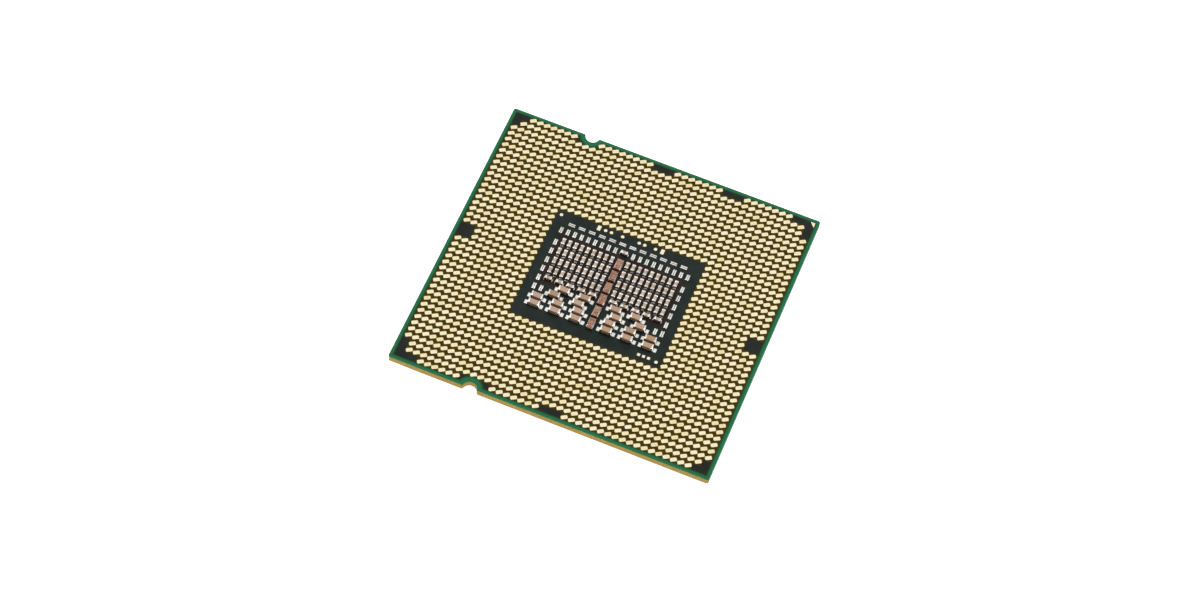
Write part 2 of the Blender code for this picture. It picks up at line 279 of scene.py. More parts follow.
def make_heat_spreader():
    low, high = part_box("heat_spreader")
    length, width, height = (high - low) / MM
    shape = bmesh.new()
    rings = []
    for ring_length, ring_width, corner, z in lid_section(length, width, height):
        outline = rounded_rectangle(ring_length, ring_width, corner, LID_CORNER_STEPS)
        rings.append(add_ring(shape, outline, z * MM))
    loft(shape, rings)
    lid = to_object("lid_blank", shape)
    drill = bmesh.new()
    x = LID_CAVITY[0] / 2 - VENT_EDGE_DISTANCE
    y = LID_CAVITY[1] / 2 - VENT_EDGE_DISTANCE
    bmesh.ops.create_cone(
        drill, cap_ends=True, segments=32, radius1=VENT_RADIUS * MM, radius2=VENT_RADIUS * MM,
        depth=2 * height * MM, matrix=Matrix.Translation(Vector((x, -y, 0)) * MM),
    )
    cutter = to_object("vent_drill", drill)
    hole = lid.modifiers.new("vent hole", "BOOLEAN")
    hole.object = cutter
    piece = made_plain(lid, "heat_spreader_lid")
    bpy.data.objects.remove(cutter)
    paint(piece, nickel_plate_finish())
    install(piece, "spreader_nickel", "heat_spreader")


make_heat_spreader()


# ---------------------------------------------------------------------------------------
# Adhesive: a bead of black silicone, dispensed round the lid's rim and squeezed flat when
# the board is pressed on. It shows only as a dark, slightly uneven line under the board.

BEAD_SETBACK = 0.3
BEAD_CORNER = 1.6
BEAD_BULGE = 0.12
BEAD_RIPPLE = 0.07
BEAD_CORNER_STEPS = 10
BEAD_SIDE_STEPS = 60
DUST_SIZE = 0.4
SKIN_SIZE = 0.15
BEAD_BLACK = "1C1B1A"
BEAD_DUST = "2E2C2A"


def silicone_finish():
    """Cured black silicone: matt rubber with a faint skin and dust."""
    material, tree, shader, here = new_finish("cured_silicone", 0.6)
    dust = add_node(tree, "TexNoise", {"Vector": here, "Scale": per_metre(DUST_SIZE), "Detail": 4.0})
    dusty = add_node(tree, "MapRange", (dust, 0.5, 0.8))
    tint = add_node(tree, "Mix", (dusty, BEAD_BLACK, BEAD_DUST), data_type="RGBA")
    rough = add_node(tree, "MapRange", (dust, 0.3, 0.7, 0.45, 0.7))
    skin = add_node(tree, "TexNoise", {"Vector": here, "Scale": per_metre(SKIN_SIZE), "Detail": 3.0})
    dress(tree, shader, tint, rough, skin, 0.01)
    return material


def with_side_points(outline, steps):
    """The outline with every long straight side split into short ones."""
    points = []
    for index, (x, y) in enumerate(outline):
        next_x, next_y = outline[(index + 1) % len(outline)]
        pieces = steps if math.hypot(next_x - x, next_y - y) > 1.0 else 1
        for step in range(pieces):
            share = step / pieces
            points.append((x + (next_x - x) * share, y + (next_y - y) * share))
    return points


def rippled(outline, offset, ripple):
    """The outline pushed outwards by an offset that wanders a little along its length."""
    points = []
    count = len(outline)
    for index, (x, y) in enumerate(outline):
        before_x, before_y = outline[index - 1]
        after_x, after_y = outline[(index + 1) % count]
        along_x, along_y = after_x - before_x, after_y - before_y
        reach = math.hypot(along_x, along_y)
        wander = math.sin(index * 0.37) + 0.6 * math.sin(index * 0.91 + 1.0)
        push = offset + ripple * wander / 1.6
        points.append((x + along_y / reach * push, y - along_x / reach * push))
    return points


def make_adhesive():
    low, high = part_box("spreader_sealant")
    lid_low, lid_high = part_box("heat_spreader")
    length, width, _ = (lid_high - lid_low) / MM
    shape = bmesh.new()
    rings = []
    for side_length, side_width, setback, stations in (
        (length, width, -BEAD_SETBACK, ((0.0, 0.0), (BEAD_BULGE, 0.3), (BEAD_BULGE, 0.7), (0.0, 1.0))),
        (*LID_CAVITY[:2], BEAD_SETBACK, ((0.0, 1.0), (-BEAD_BULGE, 0.5), (0.0, 0.0))),
    ):
        outline = rounded_rectangle(
            side_length + 2 * setback, side_width + 2 * setback, BEAD_CORNER, BEAD_CORNER_STEPS
        )
        outline = with_side_points(outline, BEAD_SIDE_STEPS)
        for offset, level in stations:
            bead_line = rippled(outline, offset, BEAD_RIPPLE)
            rings.append(add_ring(shape, bead_line, low.z + (high.z - low.z) * level))
    loft(shape, rings, closed=True)
    piece = to_object("adhesive_bead", shape)
    paint(piece, silicone_finish())
    install(piece, "sealant", "spreader_sealant")


make_adhesive()


# ---------------------------------------------------------------------------------------
# Die stack: under the lid, a layer of soft indium solder, the silicon die, and the filled
# epoxy that is run in under it and climbs its sides. The CAD shapes stay, with real finishes.

INDIUM = "B4B7BA"
INDIUM_SHADE = "8E9296"
SILICON = "343941"
SILICON_SHEEN = "4A4F5C"
EPOXY = "1F1E1B"
EPOXY_FILLER = "34322C"


def mottled_finish(name, colours, roughness, metallic, grain, relief, sheen=0.5):
    """A finish whose colour and gloss wander between two states at one grain size."""
    material, tree, shader, here = new_finish(name, roughness, metallic, Specular_IOR_Level=sheen)
    pattern = add_node(tree, "TexNoise", {"Vector": here, "Scale": per_metre(grain), "Detail": 4.0})
    share = add_node(tree, "MapRange", (pattern, 0.35, 0.65))
    tint = add_node(tree, "Mix", (share, *colours), data_type="RGBA")
    rough = add_node(tree, "MapRange", (pattern, 0.3, 0.7, roughness - 0.08, roughness + 0.1))
    dress(tree, shader, tint, rough, pattern, relief)
    return material


DIE_STACK = (
    ("thermal_solder", "thermal_metal", "reflowed_indium", (INDIUM, INDIUM_SHADE), 0.4, 1.0, 0.8, 0.01),
    ("silicon_die", "silicon", "ground_silicon", (SILICON, SILICON_SHEEN), 0.18, 0.0, 2.5, 0.0005),
    ("underfill", "underfill", "filled_epoxy", (EPOXY, EPOXY_FILLER), 0.42, 0.0, 0.06, 0.004),
)
for node_name, slot_name, finish_name, tones, gloss, metal, grain_size, relief_depth in DIE_STACK:
    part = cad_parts[node_name]
    paint(part, mottled_finish(finish_name, tones, gloss, metal, grain_size, relief_depth))


# ---------------------------------------------------------------------------------------
# Board: a glass-epoxy core with resin build-up layers pressed on both sides, green solder
# mask over them, and a routed outline. The cut edge shows the layers: yellow-green resin at
# the top, woven glass in tan resin below it. Two routed notches key it to its socket.

BOARD_CORNER = 0.3
NOTCH_X = -10.9
NOTCH_DEPTH = 0.9
NOTCH_RADIUS = 1.0
NOTCH_LIP = 0.25
NOTCH_STEPS = 28
BOARD_CORNER_STEPS = 8
CORE_TOP = "93983A"
CORE_MIDDLE = "B98A26"
CORE_BOTTOM = "CF8A24"
CORE_FIBRE = "D9AE4C"
RESIN_EDGE = "4F7A38"
RESIN_EDGE_PALE = "6E8A42"
END_FACE_GREEN = "2C8A62"
GLASS_BUNDLE_LENGTH = 0.9
GLASS_LAYER_HEIGHT = 0.11
ROUTER_MARK_WIDTH = 0.05
RESIN_GRAIN = 0.05


def board_outline(length, width, inset=0.0, notch_inset=0.0):
    """The board's outline in millimetres, anticlockwise, with its two key notches."""
    edge = width / 2 - inset
    centre_y = width / 2 - NOTCH_DEPTH + NOTCH_RADIUS
    radius = NOTCH_RADIUS + notch_inset
    lip = max(NOTCH_LIP - inset, 0.02)
    drop = centre_y - (edge - lip)
    reach = math.sqrt((radius + lip) ** 2 - drop ** 2)
    tilt = math.degrees(math.atan2(drop, reach))
    far_notch = corner_arc((NOTCH_X + reach, edge - lip), lip, 90, 180 - tilt, NOTCH_STEPS // 4)
    far_notch += corner_arc((NOTCH_X, centre_y), radius, -tilt, tilt - 180, NOTCH_STEPS)[1:-1]
    far_notch += corner_arc((NOTCH_X - reach, edge - lip), lip, tilt, 90, NOTCH_STEPS // 4)
    near_notch = [(x, -y) for x, y in reversed(far_notch)]
    corners = rounded_rectangle(
        length - 2 * inset, width - 2 * inset, max(BOARD_CORNER - inset, 0.02), BOARD_CORNER_STEPS
    )
    first = BOARD_CORNER_STEPS + 1
    return corners[:first] + far_notch + corners[first:3 * first] + near_notch + corners[3 * first:]


def end_share(tree, here, half_length):
    """1 on the board's left and right cut ends, which are drawn green."""
    across = add_node(tree, "SeparateXYZ", (here,), "X")
    reach = add_node(tree, "Math", (across,), operation="ABSOLUTE")
    return add_node(tree, "MapRange", (reach, half_length - 0.06 * MM, half_length - 0.02 * MM))


def laminate_edge_finish():
    """Routed glass-epoxy: tan resin with pale glass bundles in layers, greener towards the top."""
    material, tree, shader, here = new_finish("glass_epoxy_core", 0.55, Specular_IOR_Level=0.2)
    low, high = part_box("substrate_core")
    height = add_node(tree, "SeparateXYZ", (here,), "Z")
    rise = add_node(tree, "MapRange", (height, low.z, high.z))
    lower_half = add_node(tree, "MapRange", (rise, 0.0, 0.55))
    lower = add_node(tree, "Mix", (lower_half, CORE_BOTTOM, CORE_MIDDLE), data_type="RGBA")
    upper_half = add_node(tree, "MapRange", (rise, 0.45, 1.0))
    ground = add_node(tree, "Mix", (upper_half, lower, CORE_TOP), data_type="RGBA")
    flat = GLASS_LAYER_HEIGHT / GLASS_BUNDLE_LENGTH
    layered = add_node(tree, "Mapping", {"Vector": here, "Scale": (flat, flat, 1.0)})
    layer_scale = per_metre(GLASS_LAYER_HEIGHT)
    bundles = add_node(tree, "TexNoise", {"Vector": layered, "Scale": layer_scale, "Detail": 2.0})
    glass = add_node(tree, "MapRange", (bundles, 0.52, 0.68, 0.0, 0.55))
    laminate = add_node(tree, "Mix", (glass, ground, CORE_FIBRE), data_type="RGBA")
    ends = end_share(tree, here, high.x)
    # The left and right cut ends are drawn green all over.
    tint = add_node(tree, "Mix", (ends, laminate, END_FACE_GREEN), data_type="RGBA")
    rough = add_node(tree, "MapRange", (bundles, 0.4, 0.7, 0.62, 0.42))
    upright = add_node(tree, "Mapping", {"Vector": here, "Scale": (1.0, 1.0, 0.08)})
    router_scale = per_metre(ROUTER_MARK_WIDTH)
    routed = add_node(tree, "TexNoise", {"Vector": upright, "Scale": router_scale, "Detail": 2.0})
    dress(tree, shader, tint, rough, routed, 0.012)
    return material


def resin_edge_finish():
    """Build-up resin cut through: yellow-green, denser than the core and finely streaked."""
    material, tree, shader, here = new_finish("buildup_resin", 0.45, Specular_IOR_Level=0.2)
    streaked = add_node(tree, "Mapping", {"Vector": here, "Scale": (0.1, 0.1, 1.0)})
    resin_scale = per_metre(RESIN_GRAIN)
    streaks = add_node(tree, "TexNoise", {"Vector": streaked, "Scale": resin_scale, "Detail": 2.0})
    share = add_node(tree, "MapRange", (streaks, 0.35, 0.65))
    cut_resin = add_node(tree, "Mix", (share, RESIN_EDGE, RESIN_EDGE_PALE), data_type="RGBA")
    ends = end_share(tree, here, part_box("substrate_core")[1].x)
    # The left and right cut ends are drawn green all over.
    tint = add_node(tree, "Mix", (ends, cut_resin, END_FACE_GREEN), data_type="RGBA")
    rough = add_node(tree, "MapRange", (streaks, 0.3, 0.7, 0.38, 0.52))
    grain = add_node(tree, "TexNoise", {"Vector": here, "Scale": resin_scale, "Detail": 3.0})
    dress(tree, shader, tint, rough, grain, 0.006)
    return material


def make_board_layer(name, node, slot, finish):
    """One layer of the board: the full outline between the heights of its CAD node."""
    low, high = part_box(node)
    length, width, _ = (high - low) / MM
    outline = board_outline(length, width)
    shape = bmesh.new()
    loft(shape, [add_ring(shape, outline, low.z), add_ring(shape, outline, high.z)])
    piece = to_object(name, shape)
    paint(piece, finish)
    install(piece, slot, node)


make_board_layer("board_core", "substrate_core", "laminate_core", laminate_edge_finish())
resin = resin_edge_finish()
make_board_layer("upper_buildup", "land_side_buildup", "buildup_resin", resin)
make_board_layer("lower_buildup", "die_side_buildup", "buildup_resin", resin)


# ---------------------------------------------------------------------------------------
# Solder mask: a film of green light-cured ink over each side. Over bare laminate, along the
# rim and round the notches, light gets through it and it is bright green. Over copper, in
# the land field, it is nearly black with an olive cast.

MASK_RIM_WIDTH = 0.6
MASK_NOTCH_RIM_WIDTH = 0.9
MASK_RIM_BRIGHT = 0.32
MASK_RIM = "2B7D56"
MASK_RIM_DEEP = "1B4A2C"
MASK_OVER_COPPER = "46380A"
MASK_OVER_COPPER_PALE = "53430E"
MASK_GLOSS_TINT = "C9A650"
MASK_UNDERSIDE = "1D3A2C"
MASK_UNDERSIDE_PALE = "27483A"
MASK_SHEEN = 0.12
INK_PEEL_SIZE = 0.35


def rim_shares(tree, here, half_length, half_width):
    """How far a point is in the strip of bare laminate along the board's edge and notches,
    and how far in that strip's outer, brighter half, each from 0 to 1."""
    x, y, _ = add_node(tree, "SeparateXYZ", (here,)).node.outputs
    across = add_node(tree, "Math", (x,), operation="ABSOLUTE")
    along = add_node(tree, "Math", (y,), operation="ABSOLUTE")
    side = add_node(tree, "Math", (half_length, across), operation="SUBTRACT")
    end = add_node(tree, "Math", (half_width, along), operation="SUBTRACT")
    to_edge = add_node(tree, "Math", (side, end), operation="MINIMUM")
    centre_y = half_width + (NOTCH_RADIUS - NOTCH_DEPTH) * MM
    squares = []
    for place, centre in ((x, NOTCH_X * MM), (along, centre_y)):
        offset = add_node(tree, "Math", (place, centre), operation="SUBTRACT")
        squares.append(add_node(tree, "Math", (offset, 2.0), operation="POWER"))
    squared = add_node(tree, "Math", squares, operation="ADD")
    distance = add_node(tree, "Math", (squared,), operation="SQRT")
    to_notch = add_node(tree, "Math", (distance, NOTCH_RADIUS * MM), operation="SUBTRACT")
    narrowing = MASK_RIM_WIDTH / MASK_NOTCH_RIM_WIDTH
    scaled = add_node(tree, "Math", (to_notch, narrowing), operation="MULTIPLY")
    nearest = add_node(tree, "Math", (to_edge, scaled), operation="MINIMUM")
    shares = []
    for inner, outer in (
        (MASK_RIM_WIDTH - 0.08, MASK_RIM_WIDTH + 0.06), (MASK_RIM_BRIGHT, MASK_RIM_WIDTH - 0.05)
    ):
        shares.append(add_node(tree, "MapRange", (nearest, inner * MM, outer * MM, 1.0, 0.0)))
    return shares


def solder_mask_finish(name, node, patch_size, over_copper, roughness, **fixed):
    """Green ink on one side of the board: glossy, with the faint orange peel of a coated film,
    patchy over copper and bright green along the rim."""
    material, tree, shader, here = new_finish(name, 0.35, **fixed)
    cloud = add_node(tree, "TexNoise", {"Vector": here, "Scale": per_metre(patch_size), "Detail": 3.0})
    rim, bright = rim_shares(tree, here, *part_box(node)[1].xy)
    patches = add_node(tree, "MapRange", (cloud, 0.35, 0.65))
    field = add_node(tree, "Mix", (patches, *over_copper), data_type="RGBA")
    green = add_node(tree, "Mix", (bright, MASK_RIM_DEEP, MASK_RIM), data_type="RGBA")
    tint = add_node(tree, "Mix", (rim, field, green), data_type="RGBA")
    rough = add_node(tree, "MapRange", (cloud, 0.3, 0.7, *roughness))
    peel_scale = per_metre(INK_PEEL_SIZE)
    peel = add_node(tree, "TexNoise", {"Vector": here, "Scale": peel_scale, "Detail": 2.0})
    dress(tree, shader, tint, rough, peel, 0.003)
    return material


land_side_mask = solder_mask_finish(
    "solder_mask_land_side", "land_side_solder_mask", 1.4, (MASK_OVER_COPPER, MASK_OVER_COPPER_PALE),
    (0.22, 0.32), Specular_IOR_Level=MASK_SHEEN, Specular_Tint=linear_colour(MASK_GLOSS_TINT),
)
die_side_mask = solder_mask_finish(
    "solder_mask_die_side", "die_side_solder_mask", 1.8, (MASK_UNDERSIDE, MASK_UNDERSIDE_PALE),
    (0.3, 0.44),
)
make_board_layer("upper_solder_mask", "land_side_solder_mask", "solder_mask", land_side_mask)
make_board_layer("lower_solder_mask", "die_side_solder_mask", "solder_mask", die_side_mask)


# ---------------------------------------------------------------------------------------
# Copper planes under the mask: solid copper fills the centre, where the capacitors stand,
# and the spots along the edges where lands are left out. The mask lies a few microns higher
# there and looks flat brown-black, or blue-black in the centre.

LAND_PITCH = 1.016
LAND_COLUMNS = 43
LAND_ROWS = 41
CENTRE_COLUMNS = 21
CENTRE_ROWS = 17
VACANT_SITES = {
    0: (0, 1, 9, 10, 11, 20, 21, 22, 30, 31, 32, 40, 41, 42),
    1: (0, 42),
    2: (42,),
    19: (0, 1),
    20: (0, 1, 41, 42),
    21: (41, 42),
    38: (0,),
    39: (0, 42),
    40: (0, 1, 2, 9, 10, 11, 12, 20, 21, 22, 41, 42),
}
PLANE_RELIEF = 0.004
PLANE_CLEARANCE = 0.05
PLANE_EDGE = 0.03
CENTRE_CORNER = 0.15
CENTRE_CORNER_STEPS = 5
PLANE_BROWN = "1F2521"
PLANE_BROWN_PALE = "292E2A"
PLANE_CENTRE = "1B2724"
PLANE_CENTRE_PALE = "27332F"
BROWN_PATCH = (8.7, 3.8)
BROWN_PATCH_Y = 1.2
BROWN_PATCH_SOFTNESS = 0.5
PATCH_BROWN = "291D18"
PATCH_BROWN_PALE = "34271F"
CLOUD_SIZE = 1.6
mask_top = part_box("land_side_solder_mask")[1].z


def site_place(column, row):
    """Centre of a land site in millimetres. Row 0 is the far one, column 0 the left one."""
    return (column - LAND_COLUMNS // 2) * LAND_PITCH, (LAND_ROWS // 2 - row) * LAND_PITCH


def centre_mask_finish():
    """Mask over the centre's copper: blue-black, and browner inside a soft-edged rectangle where the small
    capacitors stand."""
    material, tree, shader, here = new_finish("solder_mask_centre", 0.36, Specular_IOR_Level=MASK_SHEEN)
    cloud = add_node(tree, "TexNoise", {"Vector": here, "Scale": per_metre(CLOUD_SIZE), "Detail": 4.0})
    x, y, _ = add_node(tree, "SeparateXYZ", (here,)).node.outputs
    from_middle = add_node(tree, "Math", (y, BROWN_PATCH_Y * MM), operation="SUBTRACT")
    inside = 1.0
    for place, half in zip((x, from_middle), BROWN_PATCH):
        reach = add_node(tree, "Math", (place,), operation="ABSOLUTE")
        edge = (half * MM, (half + BROWN_PATCH_SOFTNESS) * MM)
        side = add_node(tree, "MapRange", (reach, *edge, 1.0, 0.0))
        inside = add_node(tree, "Math", (side, inside), operation="MULTIPLY")
    patches = add_node(tree, "MapRange", (cloud, 0.35, 0.65))
    outer = add_node(tree, "Mix", (patches, PLANE_CENTRE, PLANE_CENTRE_PALE), data_type="RGBA")
    # A browner tone is drawn inside the soft-edged rectangle round the small capacitors.
    patch_tone = add_node(tree, "Mix", (patches, PATCH_BROWN, PATCH_BROWN_PALE), data_type="RGBA")
    tint = add_node(tree, "Mix", (inside, outer, patch_tone), data_type="RGBA")
    rough = add_node(tree, "MapRange", (cloud, 0.3, 0.7, 0.28, 0.46))
    dress(tree, shader, tint, rough, cloud, 0.002)
    return material


centre_shape = bmesh.new()
centre_rings = []
for shrink, lift in ((0.0, -PLANE_RELIEF), (0.0, 0.0), (PLANE_EDGE, PLANE_RELIEF)):
    plane_outline = rounded_rectangle(
        CENTRE_COLUMNS * LAND_PITCH - shrink, CENTRE_ROWS * LAND_PITCH - shrink,
        CENTRE_CORNER - shrink / 2, CENTRE_CORNER_STEPS,
    )
    centre_rings.append(add_ring(centre_shape, plane_outline, mask_top + lift * MM))
loft(centre_shape, centre_rings)
centre_plane = to_object("centre_copper_plane", centre_shape)
paint(centre_plane, centre_mask_finish())
install(centre_plane, "solder_mask")

board_length, board_width, _ = 2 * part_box("substrate_core")[1] / MM


def cell_edge(index, count, half):
    """The boundary before a row or column of sites. The outer ones reach the board's edge."""
    if index in (0, count):
        return math.copysign(half, index - count / 2)
    return (index - count / 2) * LAND_PITCH


def edge_plane_cells():
    """One block of mask per group of left-out sites, as prisms that stand clear of their neighbours."""
    shape = bmesh.new()
    corners = {}
    for row, columns in VACANT_SITES.items():
        for column in columns:
            around = ((column, row), (column, row + 1), (column + 1, row + 1), (column + 1, row))
            for key in around:
                if key not in corners:
                    x = cell_edge(key[0], LAND_COLUMNS, board_length / 2)
                    y = -cell_edge(key[1], LAND_ROWS, board_width / 2)
                    corners[key] = shape.verts.new((x * MM, y * MM, mask_top - PLANE_RELIEF * MM))
            shape.faces.new([corners[key] for key in around])
    ring = bmesh.ops.inset_region(shape, faces=shape.faces, thickness=PLANE_CLEARANCE * MM, use_boundary=True)
    bmesh.ops.delete(shape, geom=ring["faces"], context="FACES")
    raised = bmesh.ops.extrude_face_region(shape, geom=shape.faces, use_keep_orig=True)
    lifted = [part for part in raised["geom"] if isinstance(part, bmesh.types.BMVert)]
    bmesh.ops.translate(shape, verts=lifted, vec=(0.0, 0.0, 2 * PLANE_RELIEF * MM))
    return to_object("loose_planes", shape)


loose_planes = edge_plane_cells()
limit_shape = bmesh.new()
limit_outline = board_outline(board_length, board_width, MASK_RIM_WIDTH, MASK_NOTCH_RIM_WIDTH)
loft(limit_shape, [add_ring(limit_shape, limit_outline, mask_top + level * MM) for level in (-0.1, 0.1)])
limit = to_object("plane_limit", limit_shape)
trim = loose_planes.modifiers.new("clear of the rim", "BOOLEAN")
trim.operation = "INTERSECT"
trim.object = limit
edge_planes = made_plain(loose_planes, "edge_copper_planes")
edge_planes.data.shade_flat()
bpy.data.objects.remove(limit)
paint(edge_planes, mottled_finish(
    "solder_mask_edge_planes", (PLANE_BROWN, PLANE_BROWN_PALE), 0.27, 0.0, CLOUD_SIZE, 0.002, MASK_SHEEN
))
install(edge_planes, "solder_mask")


# ---------------------------------------------------------------------------------------
# Contact lands: pads etched in the outer copper, plated with nickel and then gold, each a
# rounded bar turned 30 degrees so that a socket spring can wipe along it. A used package
# has a small scuff on each, off centre, where the spring landed.

LAND_LENGTH = 0.93
LAND_WIDTH = 0.59
LAND_CORNER = 0.17
LAND_TURN = 30.0
LAND_EDGE = 0.03
LAND_CORNER_STEPS = 3
GOLD = "EFE3BA"
GOLD_WARM = "E8D6A2"
GOLD_PALE = "F3E9C8"
WIPE_MARK = "D8C79A"
PLATING_GRAIN = 0.05


def shape_on_sites():
    """Geometry Nodes that put one shape on every point of a mesh and make the copies real.

    Each copy gets its own tint from 0 to 1, and is turned a little at random by up to Wobble.
    """
    tree = bpy.data.node_groups.new("shape_on_sites", "GeometryNodeTree")
    for name, kind in (
        ("Sites", "Geometry"), ("Shape", "Object"), ("Turn", "Float"), ("Wobble", "Float"),
        ("Seed", "Int"), ("Finish", "Material"),
    ):
        tree.interface.new_socket(name, in_out="INPUT", socket_type=f"NodeSocket{kind}")
    tree.interface.new_socket("Copies", in_out="OUTPUT", socket_type="NodeSocketGeometry")
    given = tree.nodes.new("NodeGroupInput").outputs
    seed = given["Seed"]
    shape = add_node(tree, "GeometryNodeObjectInfo", {"Object": given["Shape"]}, "Geometry")
    low = add_node(tree, "Math", (given["Wobble"], -1.0), operation="MULTIPLY")
    lean = add_node(tree, "FunctionNodeRandomValue", {"Min": low, "Max": given["Wobble"], "Seed": seed})
    turn = add_node(tree, "Math", (given["Turn"], lean), operation="ADD")
    angles = add_node(tree, "CombineXYZ", {"Z": turn})
    copies = add_node(
        tree, "GeometryNodeInstanceOnPoints",
        {"Points": given["Sites"], "Instance": shape, "Rotation": angles},
    )
    tint = add_node(tree, "FunctionNodeRandomValue", {"Seed": seed})
    marked = add_node(
        tree, "GeometryNodeStoreNamedAttribute", {"Geometry": copies, "Name": "tint", "Value": tint},
        data_type="FLOAT", domain="INSTANCE",
    )
    real = add_node(tree, "GeometryNodeRealizeInstances", {"Geometry": marked})
    painted = add_node(
        tree, "GeometryNodeSetMaterial", {"Geometry": real, "Material": given["Finish"]}
    )
    tree.links.new(painted, tree.nodes.new("NodeGroupOutput").inputs["Copies"])
    return tree


SITE_TREE = shape_on_sites()


def make_copies(name, shape, sites, finish, turn=0.0, wobble=0.0, seed=1):
    """One plain mesh of a shape repeated at every site. Sites are in millimetres, x, y and z."""
    points = bpy.data.meshes.new("sites")
    points.from_pydata([Vector(site) * MM for site in sites], [], [])
    holder = add_object("sites", points)
    modifier = holder.modifiers.new("copies", "NODES")
    modifier.node_group = SITE_TREE
    values = {
        "Shape": shape, "Turn": math.radians(turn), "Wobble": math.radians(wobble),
        "Seed": seed, "Finish": finish,
    }
    for socket in SITE_TREE.interface.items_tree:
        if socket.name in values:
            modifier[socket.identifier] = values[socket.name]
    return made_plain(holder, name)


def gold_plate_finish(name, marked):
    """Thin soft gold over nickel: pale, warm and satin. Its tone differs a little from land
    to land, and where a spring has wiped a land the gold is scuffed and duller."""
    material, tree, shader, here = new_finish(name, 0.3, 1.0)
    grain = add_node(tree, "TexNoise", {"Vector": here, "Scale": per_metre(PLATING_GRAIN), "Detail": 3.0})
    tint = add_node(tree, "Attribute", output="Fac", attribute_name="tint")
    warmer = add_node(tree, "MapRange", (tint, 0.7, 1.0, 0.0, 0.8))
    tone = add_node(tree, "Mix", (warmer, GOLD, GOLD_WARM), data_type="RGBA")
    paler = add_node(tree, "MapRange", (tint, 0.4, 0.0, 0.0, 0.6))
    tone = add_node(tree, "Mix", (paler, tone, GOLD_PALE), data_type="RGBA")
    rough = add_node(tree, "MapRange", (grain, 0.3, 0.7, 0.16, 0.26))
    if marked:
        local = add_node(tree, "UVMap", uv_map="land")
        centred = {"Vector": local, "Location": (-0.3, 0.1, 0.0), "Scale": (5.0, 12.0, 1.0)}
        spot = add_node(tree, "Mapping", centred)
        reach = add_node(tree, "VectorMath", (spot,), "Value", operation="LENGTH")
        within = add_node(tree, "MapRange", (reach, 0.5, 1.1, 1.0, 0.0))
        wear = add_node(tree, "MapRange", (tint, 0.2, 0.9, 0.2, 0.8))
        scuff = add_node(tree, "Math", (within, wear), operation="MULTIPLY")
        tone = add_node(tree, "Mix", (scuff, tone, WIPE_MARK), data_type="RGBA")
        duller = add_node(tree, "Math", (scuff, 0.18), operation="MULTIPLY")
        rough = add_node(tree, "Math", (rough, duller), operation="ADD")
    dress(tree, shader, tone, rough, grain, 0.0006)
    return material


def add_pad(shape, outline, inset_outline, base, height):
    """A flat pad with a softened upper edge, standing on a base height in millimetres."""
    loft(shape, [
        add_ring(shape, outline, (base - 0.004) * MM),
        add_ring(shape, outline, (base + height * 0.6) * MM),
        add_ring(shape, inset_outline, (base + height) * MM),
    ])


def land_shape():
    """One land about the origin, with its own flat coordinates in millimetres as a UV map."""
    low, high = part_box("land_layer")
    shape = bmesh.new()
    outline = rounded_rectangle(LAND_LENGTH, LAND_WIDTH, LAND_CORNER, LAND_CORNER_STEPS)
    inner = rounded_rectangle(
        LAND_LENGTH - 2 * LAND_EDGE, LAND_WIDTH - 2 * LAND_EDGE, LAND_CORNER - LAND_EDGE, LAND_CORNER_STEPS
    )
    add_pad(shape, outline, inner, 0.0, (high.z - mask_top) / MM)
    local = shape.loops.layers.uv.new("land")
    for face in shape.faces:
        for corner in face.loops:
            corner[local].uv = (corner.vert.co.x / MM, corner.vert.co.y / MM)
    return to_object("land_shape", shape, 20.0)


def land_sites():
    """Every land's centre: the full grid, less its empty centre and the left-out edge sites."""
    sites = []
    for row in range(LAND_ROWS):
        for column in range(LAND_COLUMNS):
            x, y = site_place(column, row)
            in_centre = abs(column - LAND_COLUMNS // 2) <= CENTRE_COLUMNS // 2
            in_centre = in_centre and abs(row - LAND_ROWS // 2) <= CENTRE_ROWS // 2
            if not in_centre and column not in VACANT_SITES.get(row, ()):
                sites.append((x, y, mask_top / MM))
    return sites


land = land_shape()
lands = make_copies(
    "contact_lands", land, land_sites(), gold_plate_finish("gold_land_plate", True), LAND_TURN, 0.0, 11
)
bpy.data.objects.remove(land)
install(lands, "gold_plate", "land_layer")


# ---------------------------------------------------------------------------------------
# Gold marks: the triangle at the pin-one corner, a row of test pads, two round fiducials
# and three plain squares. They are etched and plated with the lands.

MARKER_CORNER = (21.93, 20.7)
MARKER_LEGS = (0.68, 0.75)
TEST_BARS = ((-4.585, 8.08), (4.585, 8.08))
TEST_BAR_SIZE = (0.5, 0.8)
TEST_DOTS = (-3.64, -2.8, -1.18, 1.23, 2.03, 3.59)
TEST_DOT_Y = 8.08
DOT_DIAMETER = 0.48
FIDUCIALS = ((-10.03, 7.96), (9.97, -7.95))
PLAIN_SQUARES = ((7.45, -7.8), (8.15, -7.8), (8.85, -7.8))
PLAIN_SQUARE_SIZE = 0.42
MARK_HEIGHT = 0.02
MARK_EDGE = 0.03
MARK_CORNER = 0.05
MARK_CORNER_STEPS = 3
DOT_STEPS = 8

mark_top = mask_top / MM + PLANE_RELIEF
marks_shape = bmesh.new()


def add_mark(centre, length, width, corner, steps):
    """A rounded pad of plated copper on the centre plane."""
    outlines = []
    for shrink in (0.0, MARK_EDGE):
        outline = rounded_rectangle(length - shrink, width - shrink, corner - shrink / 2, steps)
        outlines.append([(x + centre[0], y + centre[1]) for x, y in outline])
    add_pad(marks_shape, *outlines, mark_top, MARK_HEIGHT)


